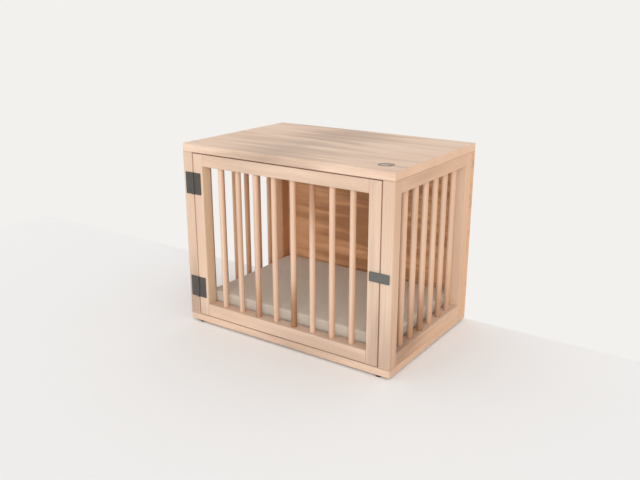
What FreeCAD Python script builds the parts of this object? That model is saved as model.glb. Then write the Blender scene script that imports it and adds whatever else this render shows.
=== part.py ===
import FreeCAD, Part
# Dog crate end table: a barred timber kennel with a framed, hinged door, whose flat
# top serves as a side table and whose floor carries a loose pad.
#
# Millimetres. +X is to the right of someone who faces the door, +Y runs to the back
# and +Z is up. The origin is on the floor, under the middle of the table's outer box.
#
# The carcass is a base board and a top board held apart by four posts. Rails with
# stub tenons tie the posts of each side, round bars stand in blind sockets between
# the rails, and a solid back board is screwed to the rear posts. The door is a frame
# of the same build, hung on two surface butt hinges in front of the left post.
import math
import os

from FreeCAD import Placement, Rotation, Vector

# ---- Carcass ---------------------------------------------------------------
body_width = 760.0               # over the two side frames
body_depth = 520.0               # front of the posts to the outside of the back board
body_height = 596.0              # underside of the base board to the table surface
top_thickness = 26.0
base_thickness = 23.0
back_thickness = 21.0
post_width = 38.0                # seen from the front
post_depth = 38.0                # seen from the side
side_top_rail_height = 38.0
side_bottom_rail_height = 41.0
side_bar_count = 6
board_arris = 1.5                # bevel of the boards' edges
member_arris = 1.2               # bevel along posts, stiles and rails

# ---- Door ------------------------------------------------------------------
door_thickness = 38.0
stile_width = 38.0
door_top_rail_height = 38.0
door_bottom_rail_height = 41.0
door_bar_count = 8
door_gap = 3.0                   # around the closed door, on all four sides

# ---- Bars, tenons and their fits -------------------------------------------
bar_diameter = 18.0
bar_socket_depth = 12.0
bar_fit = 0.1                    # radial room of a bar in its socket
bar_end_room = 0.5               # left above a bar's upper end
tenon_thickness = 12.0
tenon_length = 12.0
tenon_shoulder = 6.0             # rail material above and below a tenon
tenon_fit = 0.1                  # around a tenon
tenon_end_room = 1.0             # beyond a tenon's end

# ---- Hinges ----------------------------------------------------------------
hinge_height = 70.0
hinge_leaf_width = 31.0          # hinge axis to the leaf's outer edge
hinge_leaf_thickness = 2.0
hinge_end_distance = 96.0        # door's end to the middle of a hinge
knuckle_count = 3                # odd: the post's leaf has the two outer ones
knuckle_radius = 3.2
knuckle_gap = 0.3                # between neighbouring knuckles
knuckle_notch_room = 0.5         # leaf notch around the other leaf's knuckle
hinge_pin_radius = 2.0
hinge_pin_fit = 0.05             # radial
hinge_leaf_corner = 1.5
hinge_screw_spread = 24.0        # middle screw to the outer ones, along the leaf
hinge_screw_near = 14.0          # axis to the outer screws
hinge_screw_far = 21.5           # axis to the middle screw

# ---- Turn latch ------------------------------------------------------------
latch_height = 28.0
latch_heel = 12.0                # pivot to the end on the door
latch_reach = 52.0               # pivot to the free end, over the post
latch_thickness = 2.5
latch_corner = 2.0
latch_washer_radius = 8.0
latch_washer_thickness = 0.8
latch_axial_room = 0.05          # each side of the washer
latch_pivot_radius = 3.0
latch_pivot_fit = 0.08
latch_head_radius = 5.0
magnet_radius = 6.0
magnet_depth = 8.0               # let into the post
magnet_air_gap = 0.3             # magnet face to the closed latch bar

# ---- Screws and pins -------------------------------------------------------
fastener_sides = 8               # small fasteners and their holes are drawn in flats
socket_sides = 16                # so are the bars' sockets, the magnet and the feet
grommet_sides = 36               # and the grommet's sleeve and its hole
panel_head_radius = 4.6
panel_head_height = 3.0
panel_shank_radius = 2.4
hinge_head_radius = 3.7
hinge_shank_radius = 1.8
hinge_screw_length = 18.0
screw_bite = 24.0                # depth of thread in the second piece
screw_fit = 0.08                 # radial room of heads and shanks
screw_end_room = 1.0             # pilot hole beyond the point
screw_rim = 0.4                  # straight rim of a countersunk head
head_recess = 1.0                # head below the surface in a counterbore
rail_counterbore = 14.0          # in the side top rails' undersides
back_screw_rows = 3
back_screw_end = 90.0            # board's end to the first row
top_pin_radius = 4.0
top_pin_in_post = 24.0
top_pin_in_top = 14.0

# ---- Door stop under the top board -----------------------------------------
stop_depth = 18.0
stop_height = 16.0
stop_screw_count = 2
stop_end_room = 0.5
stop_air_gap = 0.3               # closed door to the stop

# ---- Cable grommet in the top ----------------------------------------------
grommet_from_side = 67.0         # grommet centre to the right edge of the top
grommet_from_front = 69.0
grommet_flange_radius = 23.0
grommet_flange_height = 1.6
grommet_sink = 0.05              # flange face below the table surface
grommet_sleeve_radius = 20.0
grommet_wall = 2.0
grommet_length = 22.0
grommet_hole_fit = 0.2
grommet_ledge_width = 2.2
cap_thickness = 2.5
cap_recess = 0.3                 # cap face below the flange face
cap_fit = 0.3                    # radial
cap_seat_room = 0.05
cord_notch_width = 13.0
cord_notch_start = 5.0           # cap centre to the closed end of the notch

# ---- Feet ------------------------------------------------------------------
foot_height = 6.0
foot_radius = 11.0
foot_taper = 1.0
foot_from_side = 40.0            # foot centre to the body's side
foot_from_front = 13.0           # and to its front or back
foot_seat_thickness = 2.5        # foot material under the screw head
foot_head_radius = 3.6
foot_head_height = 2.2
foot_shank_radius = 1.9
foot_screw_bite = 14.0

# ---- Floor pad -------------------------------------------------------------
pad_height = 86.0
pad_side_room = 6.0              # to the side rails
pad_front_room = 6.0             # to the closed door
pad_back_room = 3.0
pad_floor_room = 0.3
pad_crown = 6.0                  # rise of the top from its edge to its middle
pad_draw_in = 7.0                # how far the long sides bow inwards
pad_corner_radius = 24.0
pad_edge_round = 14.0            # turn of the sides into the top and bottom
pad_side_pieces = 4              # straight lengths that make up each bowed side

# ---- Places that follow ----------------------------------------------------
left_x = -body_width / 2
right_x = body_width / 2
front_y = knuckle_radius - body_depth / 2
back_y = front_y + body_depth
back_board_y = back_y - back_thickness
rear_post_y = back_board_y - post_depth
front_post_back_y = front_y + post_depth
base_bottom_z = foot_height
base_top_z = base_bottom_z + base_thickness
table_z = base_bottom_z + body_height
top_underside_z = table_z - top_thickness
side_top_rail_z = top_underside_z - side_top_rail_height
post_centre_x = body_width / 2 - post_width / 2

door_left_x = left_x + post_width + door_gap
door_right_x = right_x - post_width - door_gap
door_bottom_z = base_top_z + door_gap
door_top_z = top_underside_z - door_gap
door_back_y = front_y + door_thickness
door_centre_y = front_y + door_thickness / 2
door_top_rail_z = door_top_z - door_top_rail_height

hinge_axis_x = door_left_x - door_gap / 2
hinge_axis_y = front_y - knuckle_radius
hinge_bottoms = {
    "lower": door_bottom_z + hinge_end_distance - hinge_height / 2,
    "upper": door_top_z - hinge_end_distance - hinge_height / 2,
}
latch_x = door_right_x - stile_width / 2
latch_z = (door_bottom_z + door_top_z) / 2
latch_back_y = front_y - latch_washer_thickness - 2 * latch_axial_room
latch_face_y = latch_back_y - latch_thickness

mortise_depth = tenon_length + tenon_end_room
post_fixing_inset = (post_depth - mortise_depth) / 2     # outer face to pins and screws
side_signs = {"left": -1, "right": 1}

Z_AXIS = Vector(0, 0, 1)


# ---- Shape helpers ---------------------------------------------------------
def box_between(low, high):
    """Box from its lowest to its highest corner."""
    size = [high[i] - low[i] for i in range(3)]
    return Part.makeBox(size[0], size[1], size[2], Vector(*low))


def edges_along(solid, axis=None):
    """The straight edges of a box that run along one axis, or all its edges."""
    runs = [(edge, edge.Vertexes[1].Point - edge.Vertexes[0].Point) for edge in solid.Edges]
    return [edge for edge, run in runs if axis is None or abs(run[axis]) > 1e-6]


def eased_box(low, high, arris, axis=None):
    """Box with a small bevel on its edges along one axis, or on all its edges."""
    solid = box_between(low, high)
    return solid.makeChamfer(arris, edges_along(solid, axis))


def turned(profile):
    """Solid of revolution about Z, from a closed outline of (radius, height) points."""
    points = [Vector(r, 0, z) for r, z in profile]
    face = Part.Face(Part.makePolygon(points + points[:1]))
    return face.revolve(Vector(), Z_AXIS, 360)


def faceted(stations, sides=fastener_sides):
    """Turned solid in flats, for small or hidden forms, from (radius, height) rings."""
    turn = 2 * math.pi / sides
    rings = [[Vector(r * math.cos(i * turn), r * math.sin(i * turn), z)
              for i in range(sides)] for r, z in stations]
    outlines = [rings[0], rings[-1]]
    for one, other in zip(rings, rings[1:]):
        for i in range(sides):
            outlines.append([one[i - 1], one[i], other[i], other[i - 1]])
    faces = [Part.Face(Part.makePolygon(corners + corners[:1])) for corners in outlines]
    solid = Part.Solid(Part.Shell(faces))
    if solid.Volume < 0:
        solid.reverse()
    return solid


def placed(shape, position, rotation=None):
    """Copy of a shape, turned about the origin and then moved to a position."""
    moved = shape.copy()
    step = Placement(Vector(*position), rotation or Rotation())
    moved.Placement = step.multiply(shape.Placement)
    return moved


def aimed(shape, position, direction):
    """Copy of a shape whose own -Z is turned to a direction, moved to a position."""
    return placed(shape, position, Rotation(Vector(0, 0, -1), Vector(*direction)))


def shifted(shape, x, y, turn=0):
    """Copy of a shape turned about Z by some degrees and moved across the floor plan."""
    return placed(shape, (x, y, 0), Rotation(Z_AXIS, turn))


def all_cut(shape, tools):
    """The shape less every tool, as one solid."""
    result = shape.cut(tools)
    return result.Solids[0]


def group(shapes):
    """Separate like solids as one node."""
    return Part.makeCompound(shapes)


# ---- Screws ----------------------------------------------------------------
def countersunk(head_radius, shank_radius, length, grow=0.0):
    """Countersunk screw with its face at z = 0 and its point down; grown, its hole."""
    cone_end = -screw_rim - (head_radius - shank_radius)
    end = -length - (screw_end_room if grow else 0.0)
    return faceted([
        (head_radius + grow, 1.0 if grow else 0.0),
        (head_radius + grow, -screw_rim),
        (shank_radius + grow, cone_end),
        (shank_radius + grow, end),
    ])


def panhead(head_radius, head_height, shank_radius, length):
    """Flat-seated screw with its seat at z = 0, its head above and its point down."""
    return faceted([
        (head_radius, head_height),
        (head_radius, 0),
        (shank_radius, 0),
        (shank_radius, -length),
    ])


def panhead_hole(head_radius, shank_radius, length, recess):
    """Counterbore and pilot for a screw that seats at z = 0."""
    return faceted([
        (head_radius + screw_fit, recess),
        (head_radius + screw_fit, 0),
        (shank_radius + screw_fit, 0),
        (shank_radius + screw_fit, -length - screw_end_room),
    ])


# ---- Framing: posts, rails and bars ----------------------------------------
def bar_centres(count, start, end):
    """Centres of bars that leave equal gaps between two uprights."""
    gap = (end - start - count * bar_diameter) / (count + 1)
    first = start + gap + bar_diameter / 2
    return [first + i * (gap + bar_diameter) for i in range(count)]


def bar(bottom_z, top_z):
    """Round bar on the Z axis."""
    return Part.makeCylinder(bar_diameter / 2, top_z - bottom_z, Vector(0, 0, bottom_z))


def bar_socket(mouth_z, direction):
    """Blind hole for a bar's end, opening at a height and going up or down.

    Its flats touch the circle that leaves the bar its room.
    """
    radius = (bar_diameter / 2 + bar_fit) / math.cos(math.pi / socket_sides)
    return faceted([(radius, mouth_z), (radius, mouth_z + direction * bar_socket_depth)],
                   socket_sides)


def rail(length, thickness, bottom_z, height):
    """Rail along X from shoulder to shoulder, centred on Y, with a tenon at each end."""
    half = thickness / 2
    body = eased_box((0, -half, bottom_z), (length, half, bottom_z + height), member_arris, 0)
    tenon = box_between(
        (-tenon_length, -tenon_thickness / 2, bottom_z + tenon_shoulder),
        (length + tenon_length, tenon_thickness / 2, bottom_z + height - tenon_shoulder),
    )
    return body.fuse(tenon).removeSplitter()


def mortise(direction, bottom_z, height):
    """Socket for a rail's tenon: its mouth at x = 0, going along +X or -X."""
    side = tenon_thickness / 2 + tenon_fit
    reach = direction * mortise_depth
    return box_between(
        (min(0, reach), -side, bottom_z + tenon_shoulder - tenon_fit),
        (max(0, reach), side, bottom_z + height - tenon_shoulder + tenon_fit),
    )


def barred_frame(length, thickness, low_rail, high_rail, count):
    """Rails and bars of one frame along X, as (bottom rail, top rail, bars).

    Each rail is given as (bottom height, height). The bars stand on the floors of the
    bottom rail's sockets and stop just short of the top rail's.
    """
    low_top = low_rail[0] + low_rail[1]
    centres = bar_centres(count, 0, length)
    low = rail(length, thickness, *low_rail)
    high = rail(length, thickness, *high_rail)
    low = all_cut(low, [shifted(bar_socket(low_top, -1), x, 0) for x in centres])
    high = all_cut(high, [shifted(bar_socket(high_rail[0], 1), x, 0) for x in centres])
    one = bar(low_top - bar_socket_depth, high_rail[0] + bar_socket_depth - bar_end_room)
    return low, high, [shifted(one, x, 0) for x in centres]


# ---- Carcass ---------------------------------------------------------------
side_rails = [
    (base_top_z, side_bottom_rail_height),
    (side_top_rail_z, side_top_rail_height),
]
side_run = rear_post_y - front_post_back_y
side_centres = bar_centres(side_bar_count, front_post_back_y, rear_post_y)
between_bars = [
    (side_centres[0] + side_centres[1]) / 2,
    (side_centres[-2] + side_centres[-1]) / 2,
]
post_fixing_y = [front_y + post_fixing_inset, back_board_y - post_fixing_inset]
base_seat_z = base_bottom_z + panel_head_height + head_recess
base_screw_length = base_top_z - base_seat_z + screw_bite
rail_seat_z = side_top_rail_z + rail_counterbore
top_bite = 0.6 * top_thickness
top_screw_length = top_underside_z - rail_seat_z + top_bite
back_screw_length = back_thickness + screw_bite
back_screw_span = top_underside_z - base_top_z - 2 * back_screw_end
back_screw_heights = [
    base_top_z + back_screw_end + i * back_screw_span / (back_screw_rows - 1)
    for i in range(back_screw_rows)
]


def base_screw_places():
    """Screws up through the base board: into the four posts and the bottom rails."""
    return [(s * post_centre_x, y, base_seat_z)
            for s in side_signs.values() for y in post_fixing_y + between_bars]


def base_screw_holes():
    hole = panhead_hole(panel_head_radius, panel_shank_radius, base_screw_length,
                        panel_head_height + head_recess + 1)
    return [aimed(hole, place, (0, 0, 1)) for place in base_screw_places()]


def base_screws():
    screw = panhead(panel_head_radius, panel_head_height, panel_shank_radius, base_screw_length)
    return group([aimed(screw, place, (0, 0, 1)) for place in base_screw_places()])


def top_screw_places():
    """Screws up through the side top rails into the top board, between the bars."""
    return [(s * post_centre_x, y, rail_seat_z) for s in side_signs.values() for y in between_bars]


def top_screw_holes():
    hole = panhead_hole(panel_head_radius, panel_shank_radius, top_screw_length,
                        rail_counterbore + 1)
    return [aimed(hole, place, (0, 0, 1)) for place in top_screw_places()]


def top_screws():
    screw = panhead(panel_head_radius, panel_head_height, panel_shank_radius, top_screw_length)
    return group([aimed(screw, place, (0, 0, 1)) for place in top_screw_places()])


def top_pin_places():
    return [(s * post_centre_x, y) for s in side_signs.values() for y in post_fixing_y]


def top_pin_holes():
    """Blind holes, half in each post and half in the top board, for the wooden pins."""
    low = top_underside_z - top_pin_in_post - screw_end_room
    high = top_underside_z + top_pin_in_top + bar_end_room
    hole = faceted([(top_pin_radius + bar_fit, low), (top_pin_radius + bar_fit, high)])
    return [shifted(hole, x, y) for x, y in top_pin_places()]


def top_pins():
    """Wooden pins that locate the top board on the four posts."""
    low = top_underside_z - top_pin_in_post - screw_end_room
    high = top_underside_z + top_pin_in_top
    pin = faceted([(top_pin_radius, low), (top_pin_radius, high)])
    return group([shifted(pin, x, y) for x, y in top_pin_places()])


def back_screw_places():
    return [(s * post_centre_x, back_y, z) for s in side_signs.values() for z in back_screw_heights]


def back_screw_holes():
    hole = countersunk(panel_head_radius, panel_shank_radius, back_screw_length, screw_fit)
    return [aimed(hole, place, (0, -1, 0)) for place in back_screw_places()]


def back_screws():
    screw = countersunk(panel_head_radius, panel_shank_radius, back_screw_length)
    return group([aimed(screw, place, (0, -1, 0)) for place in back_screw_places()])


def post(sign, y, inner_face_y, direction):
    """Corner post with two mortises in the face that its side rails meet."""
    x = sign * post_centre_x
    half = post_width / 2
    solid = eased_box((x - half, y, base_top_z), (x + half, y + post_depth, top_underside_z),
                      member_arris, 2)
    tools = [shifted(mortise(direction, *each), x, inner_face_y, 90) for each in side_rails]
    return solid, tools


def front_post(sign):
    solid, tools = post(sign, front_y, front_post_back_y, -1)
    tools += base_screw_holes() + top_pin_holes()
    if sign > 0:
        tools.append(magnet_hole())
    else:
        tools += hinge_screw_holes(-1)
    return all_cut(solid, tools)


def rear_post(sign):
    solid, tools = post(sign, rear_post_y, rear_post_y, 1)
    tools += base_screw_holes() + top_pin_holes() + back_screw_holes()
    return all_cut(solid, tools)


def side_frame(sign):
    """Bottom rail, top rail and bars between the posts of one side."""
    low, high, bars = barred_frame(side_run, post_width, *side_rails, side_bar_count)
    x = sign * post_centre_x
    low, high, *bars = [shifted(each, x, front_post_back_y, 90) for each in [low, high] + bars]
    low = all_cut(low, base_screw_holes())
    high = all_cut(high, top_screw_holes())
    return low, high, group(bars)


def top_board():
    """Table top, with the cable hole and the blind holes in its underside."""
    solid = eased_box((left_x, front_y, top_underside_z), (right_x, back_y, table_z), board_arris)
    tools = [grommet_hole()] + top_screw_holes() + top_pin_holes() + stop_screw_holes()
    return all_cut(solid, tools)


def base_board():
    """Floor of the kennel, screwed up into the posts and rails from beneath."""
    solid = eased_box((left_x, front_y, base_bottom_z), (right_x, back_y, base_top_z), board_arris)
    return all_cut(solid, base_screw_holes() + foot_screw_holes())


def back_board():
    solid = eased_box((left_x, back_board_y, base_top_z), (right_x, back_y, top_underside_z),
                      member_arris, 2)
    return all_cut(solid, back_screw_holes())


# ---- Door stop -------------------------------------------------------------
stop_front_y = door_back_y + stop_air_gap
stop_half_length = body_width / 2 - post_width - stop_end_room
stop_bottom_z = top_underside_z - stop_height
stop_seat_z = stop_bottom_z + panel_head_height + head_recess
stop_screw_length = top_underside_z - stop_seat_z + top_bite


def stop_screw_places():
    step = 2 * stop_half_length / stop_screw_count
    first = -stop_half_length + step / 2
    y = stop_front_y + stop_depth / 2
    return [(first + i * step, y, stop_seat_z) for i in range(stop_screw_count)]


def stop_screw_holes():
    hole = panhead_hole(hinge_head_radius, hinge_shank_radius, stop_screw_length,
                        panel_head_height + head_recess + 1)
    return [aimed(hole, place, (0, 0, 1)) for place in stop_screw_places()]


def stop_screws():
    screw = panhead(hinge_head_radius, panel_head_height, hinge_shank_radius, stop_screw_length)
    return group([aimed(screw, place, (0, 0, 1)) for place in stop_screw_places()])


def door_stop():
    """Strip under the top board that the closed door's top rail comes up against."""
    low = (-stop_half_length, stop_front_y, stop_bottom_z)
    high = (stop_half_length, stop_front_y + stop_depth, top_underside_z)
    return all_cut(eased_box(low, high, member_arris, 0), stop_screw_holes())


# ---- Cable grommet ---------------------------------------------------------
grommet_place = (right_x - grommet_from_side, front_y + grommet_from_front)
sleeve_bore = grommet_sleeve_radius - grommet_wall
ledge_bore = sleeve_bore - grommet_ledge_width
ledge_z = grommet_flange_height - cap_recess - cap_thickness - cap_seat_room


def on_table(shape):
    """Copy of a grommet piece whose flange starts at z = 0, moved to its place in the top."""
    return placed(shape, grommet_place + (table_z - grommet_sink - grommet_flange_height,))


def grommet_hole():
    """Hole through the top, with the rebate that takes the flange flush."""
    rebate = grommet_flange_height + grommet_sink
    return on_table(faceted([
        (grommet_flange_radius + grommet_hole_fit, rebate + 1),
        (grommet_flange_radius + grommet_hole_fit, 0),
        (grommet_sleeve_radius + grommet_hole_fit, 0),
        (grommet_sleeve_radius + grommet_hole_fit, rebate - top_thickness - 1),
    ], grommet_sides))


def grommet_sleeve():
    """Flanged sleeve in the top, with an inner ledge that carries the cap.

    The flats of its bore touch the circle that leaves the cap its room.
    """
    outside = faceted([
        (grommet_flange_radius, grommet_flange_height),
        (grommet_flange_radius, 0),
        (grommet_sleeve_radius, 0),
        (grommet_sleeve_radius, -grommet_length),
    ], grommet_sides)
    spread = 1 / math.cos(math.pi / grommet_sides)
    inside = faceted([
        (sleeve_bore * spread, grommet_flange_height + 1),
        (sleeve_bore * spread, ledge_z),
        (ledge_bore * spread, ledge_z),
        (ledge_bore * spread, -grommet_length - 1),
    ], grommet_sides)
    return on_table(all_cut(outside, [inside]))


def grommet_cap():
    """Turning cap with a cord notch that opens to the right."""
    top_z = grommet_flange_height - cap_recess
    disc = Part.makeCylinder(sleeve_bore - cap_fit, cap_thickness,
                             Vector(0, 0, top_z - cap_thickness))
    half = cord_notch_width / 2
    end_x = cord_notch_start + half
    low_z = top_z - cap_thickness - 1
    height = cap_thickness + 2
    notch = Part.makeCylinder(half, height, Vector(end_x, 0, low_z)).fuse(
        box_between((end_x, -half, low_z), (sleeve_bore + 1, half, low_z + height)))
    return on_table(all_cut(disc, [notch]))


# ---- Feet ------------------------------------------------------------------
foot_screw_length = foot_seat_thickness + foot_screw_bite
foot_seat_z = foot_height - foot_seat_thickness


def foot_places():
    x = body_width / 2 - foot_from_side
    return [(s * x, y) for s in side_signs.values()
            for y in (front_y + foot_from_front, back_y - foot_from_front)]


def foot_screw_holes():
    hole = panhead_hole(foot_head_radius, foot_shank_radius, foot_screw_length, foot_seat_z + 1)
    return [aimed(hole, (x, y, foot_seat_z), (0, 0, 1)) for x, y in foot_places()]


def foot_screws():
    screw = panhead(foot_head_radius, foot_head_height, foot_shank_radius, foot_screw_length)
    return group([aimed(screw, (x, y, foot_seat_z), (0, 0, 1)) for x, y in foot_places()])


def feet():
    """Tapered plastic glides, each with its screw head sunk from below."""
    glide = faceted([(foot_radius, foot_height), (foot_radius - foot_taper, 0)], socket_sides)
    holes = foot_screw_holes()
    return group([all_cut(shifted(glide, x, y), holes) for x, y in foot_places()])


# ---- Door ------------------------------------------------------------------
door_rails = [
    (door_bottom_z, door_bottom_rail_height),
    (door_top_rail_z, door_top_rail_height),
]
rail_start_x = door_left_x + stile_width
rail_end_x = door_right_x - stile_width


def door_stile(low_x, inner_face_x, direction):
    """Upright of the door frame with two mortises in its inner face."""
    solid = eased_box((low_x, front_y, door_bottom_z), (low_x + stile_width, door_back_y, door_top_z),
                      member_arris, 2)
    tools = [shifted(mortise(direction, *each), inner_face_x, door_centre_y) for each in door_rails]
    return solid, tools


def door_hinge_stile():
    solid, tools = door_stile(door_left_x, rail_start_x, -1)
    return all_cut(solid, tools + hinge_screw_holes(1))


def door_latch_stile():
    solid, tools = door_stile(rail_end_x, rail_end_x, 1)
    return all_cut(solid, tools + [latch_pivot(latch_pivot_fit)])


def door_infill():
    """Bottom rail, top rail and bars of the door."""
    low, high, bars = barred_frame(rail_end_x - rail_start_x, door_thickness, *door_rails,
                                   door_bar_count)
    pieces = [low, high] + bars
    low, high, *bars = [shifted(each, rail_start_x, door_centre_y) for each in pieces]
    return low, high, group(bars)


# ---- Hinges ----------------------------------------------------------------
knuckle_pitch = hinge_height / knuckle_count
notch_x = knuckle_radius + knuckle_notch_room


def hinge_screw_places(side, bottom_z):
    """Three staggered screws of a leaf: side -1 is on the post, +1 on the door."""
    middle = bottom_z + hinge_height / 2
    face_y = front_y - hinge_leaf_thickness
    offsets = [(hinge_screw_near, -hinge_screw_spread), (hinge_screw_far, 0),
               (hinge_screw_near, hinge_screw_spread)]
    return [(hinge_axis_x + side * x, face_y, middle + z) for x, z in offsets]


def hinge_screw_holes(side):
    hole = countersunk(hinge_head_radius, hinge_shank_radius, hinge_screw_length, screw_fit)
    return [aimed(hole, place, (0, 1, 0))
            for bottom_z in hinge_bottoms.values() for place in hinge_screw_places(side, bottom_z)]


def hinge_screws(side):
    screw = countersunk(hinge_head_radius, hinge_shank_radius, hinge_screw_length)
    return group([aimed(screw, place, (0, 1, 0))
                  for bottom_z in hinge_bottoms.values()
                  for place in hinge_screw_places(side, bottom_z)])


def knuckle(side, bottom_z, top_z):
    """One rolled knuckle and the tongue that joins it to its leaf.

    The section is the barrel's circle round the axis, run out along a tangent to the
    wood's face and closed at the leaf's notch.
    """
    outer = knuckle_radius
    inner_y = outer - hinge_leaf_thickness
    meet_x = math.sqrt(outer ** 2 - inner_y ** 2)
    tangent = Vector(0, outer, 0)
    far_back = Vector(side * notch_x, outer, 0)
    far_front = Vector(side * notch_x, inner_y, 0)
    meet = Vector(side * meet_x, inner_y, 0)
    bottom = Vector(0, -outer, 0)
    edges = [
        Part.LineSegment(tangent, far_back).toShape(),
        Part.LineSegment(far_back, far_front).toShape(),
        Part.LineSegment(far_front, meet).toShape(),
        Part.Arc(meet, Vector(side * outer * math.cos(0.5), -outer * math.sin(0.5), 0),
                 bottom).toShape(),
        Part.Arc(bottom, Vector(-side * outer, 0, 0), tangent).toShape(),
    ]
    section = Part.Face(Part.Wire(edges))
    section.translate(Vector(0, 0, bottom_z))
    return section.extrude(Vector(0, 0, top_z - bottom_z))


def hinge_leaf(side, bottom_z):
    """Leaf plate with its share of the knuckles: the post's leaf has both outer ones."""
    first = 0 if side < 0 else 1
    inner, outer = sorted((side * notch_x, side * hinge_leaf_width))
    low_y = knuckle_radius - hinge_leaf_thickness
    plate = box_between((inner, low_y, 0), (outer, knuckle_radius, hinge_height))
    far_x = side * hinge_leaf_width
    corners = [e for e in plate.Edges
               if abs(e.Vertexes[0].X - far_x) < 1e-6 and abs(e.Vertexes[1].X - far_x) < 1e-6
               and abs(e.Vertexes[0].Y - e.Vertexes[1].Y) > 1e-6]
    leaf = plate.makeFillet(hinge_leaf_corner, corners)
    for i in range(first, knuckle_count, 2):
        low = i * knuckle_pitch + (knuckle_gap / 2 if i > 0 else 0)
        high = (i + 1) * knuckle_pitch - (knuckle_gap / 2 if i < knuckle_count - 1 else 0)
        leaf = leaf.fuse(knuckle(side, low, high))
    bore = Part.makeCylinder(hinge_pin_radius + hinge_pin_fit, hinge_height + 2, Vector(0, 0, -1))
    leaf = leaf.cut(bore).removeSplitter()
    leaf.translate(Vector(hinge_axis_x, hinge_axis_y, bottom_z))
    return all_cut(leaf, hinge_screw_holes(side))


def hinge_pin(bottom_z):
    """Fixed pin through all knuckles, flush with both ends of the barrel."""
    return Part.makeCylinder(hinge_pin_radius, hinge_height,
                             Vector(hinge_axis_x, hinge_axis_y, bottom_z))


# ---- Turn latch ------------------------------------------------------------
def latch_pivot(grow=0.0):
    """Shoulder screw the bar turns on, its flat head flush with the bar; grown, its hole."""
    cone = latch_head_radius - latch_pivot_radius
    end = latch_face_y - front_y - screw_bite - (screw_end_room if grow else 0)
    solid = turned([
        (0, 1.0 if grow else 0.0),
        (latch_head_radius + grow, 1.0 if grow else 0.0),
        (latch_head_radius + grow, -screw_rim / 2),
        (latch_pivot_radius + grow, -screw_rim / 2 - cone),
        (latch_pivot_radius + grow, end),
        (0, end),
    ])
    return aimed(solid, (latch_x, latch_face_y, latch_z), (0, 1, 0))


def latch_bar():
    """Flat bar across the door's gap, turned up by a quarter turn to free the door."""
    half = latch_height / 2
    low = (latch_x - latch_heel, latch_face_y, latch_z - half)
    high = (latch_x + latch_reach, latch_back_y, latch_z + half)
    plate = box_between(low, high)
    plate = plate.makeFillet(latch_corner, edges_along(plate, 1))
    return all_cut(plate, [latch_pivot(latch_pivot_fit)])


def latch_washer():
    ring = faceted([(latch_washer_radius, 0), (latch_washer_radius, latch_washer_thickness)],
                   socket_sides)
    bore = (latch_pivot_radius + latch_pivot_fit) / math.cos(math.pi / socket_sides)
    hole = faceted([(bore, -1), (bore, latch_washer_thickness + 1)], socket_sides)
    return aimed(all_cut(ring, [hole]), (latch_x, front_y - latch_axial_room, latch_z), (0, 1, 0))


magnet_x = post_centre_x
magnet_face_y = latch_back_y + magnet_air_gap
magnet_seat_y = front_y + magnet_depth


def latch_magnet():
    """Round magnet let into the right post, which holds the closed bar by its free end."""
    length = magnet_seat_y - magnet_face_y
    solid = faceted([(magnet_radius, 0), (magnet_radius, -length)], socket_sides)
    return aimed(solid, (magnet_x, magnet_face_y, latch_z), (0, 1, 0))


def magnet_hole():
    radius = magnet_radius + screw_fit
    solid = faceted([(radius, 1), (radius, -magnet_depth)], socket_sides)
    return aimed(solid, (magnet_x, front_y, latch_z), (0, 1, 0))


# ---- Floor pad -------------------------------------------------------------
pad_half_x = body_width / 2 - post_width - pad_side_room
pad_front_y = door_back_y + pad_front_room
pad_back_y = back_board_y - pad_back_room
pad_bottom_z = base_top_z + pad_floor_room
pad_centre_y = (pad_front_y + pad_back_y) / 2
pad_half_y = (pad_back_y - pad_front_y) / 2


def pad_outline(inset, z):
    """Edges of the pad at one height: four corner arcs joined by sides that bow inwards.

    The bow shrinks with the side, so each flat length is parallel to the next ring's.
    """
    a = pad_half_x - inset
    b = pad_half_y - inset
    r = pad_corner_radius
    tip = r * (1 - math.sqrt(0.5))
    edges = []
    for sx, sy in ((1, 1), (-1, 1), (-1, -1), (1, -1)):
        ends = [Vector(sx * a, sy * (b - r), z), Vector(sx * (a - r), sy * b, z)]
        if sx * sy < 0:
            ends.reverse()
        corner = Vector(sx * (a - tip), sy * (b - tip), z)
        edges.append(Part.Arc(ends[0], corner, ends[1]).toShape())
        start = ends[1]
        if sx * sy > 0:
            end, inward = Vector(-start.x, start.y, z), Vector(0, -sy, 0)
            bow = pad_draw_in * (a - r) / (pad_half_x - r)
        else:
            end, inward = Vector(start.x, -start.y, z), Vector(-sx, 0, 0)
            bow = pad_draw_in * (b - r) / (pad_half_y - r)
        shares = [i / pad_side_pieces for i in range(pad_side_pieces + 1)]
        points = [start + (end - start) * t + inward * (bow * math.sin(math.pi * t))
                  for t in shares]
        edges += [Part.makeLine(one, other) for one, other in zip(points, points[1:])]
    return edges


def band_face(lower, upper):
    """Face between two like edges: a plane between flat lengths, ruled between arcs."""
    if isinstance(lower.Curve, Part.Line):
        corners = [each.Point for each in lower.Vertexes + upper.Vertexes[::-1]]
        return Part.Face(Part.makePolygon(corners + corners[:1]))
    return Part.makeRuledSurface(lower, upper)


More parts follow.
